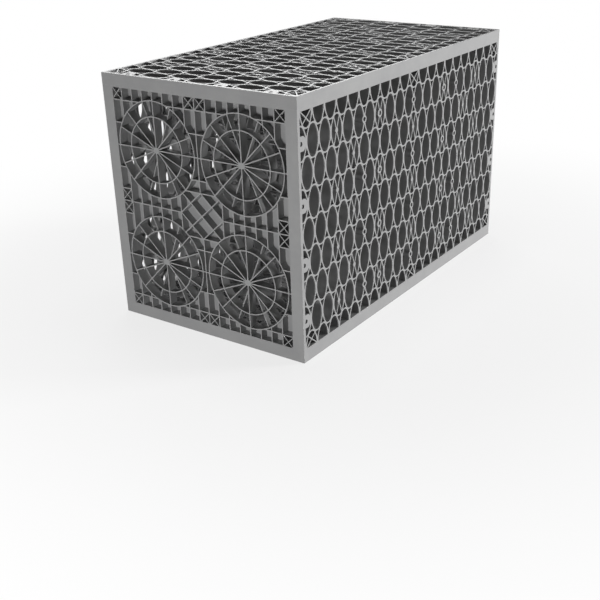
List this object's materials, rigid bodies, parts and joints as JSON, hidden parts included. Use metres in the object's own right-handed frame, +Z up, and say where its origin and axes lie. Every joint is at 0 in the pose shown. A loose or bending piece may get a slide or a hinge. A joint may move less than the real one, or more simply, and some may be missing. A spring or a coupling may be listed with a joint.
{
  "type": "soakaway crate",
  "caption": "Box-shaped soakaway crate of snap-together lattice panels with oval cells, inner cross plates and a pipe knock-out end plate.",
  "frame": {"origin": "middle of the base, where the crate stands", "axes": "+Z up, +Y along the length away from the pipe end, +X across the width"},
  "size_m": [0.4, 0.715, 0.44],
  "materials": {
    "grey_plastic": "plain moulded, slightly satin"
  },
  "bodies": {
    "root": {"top_panel": "grey_plastic", "bottom_panel": "grey_plastic", "left_side_panel": "grey_plastic", "right_side_panel": "grey_plastic", "front_end_plate": "grey_plastic", "rear_end_plate": "grey_plastic", "inner_plate_front": "grey_plastic", "inner_plate_middle": "grey_plastic", "inner_plate_rear": "grey_plastic"}
  },
  "joints": []
}
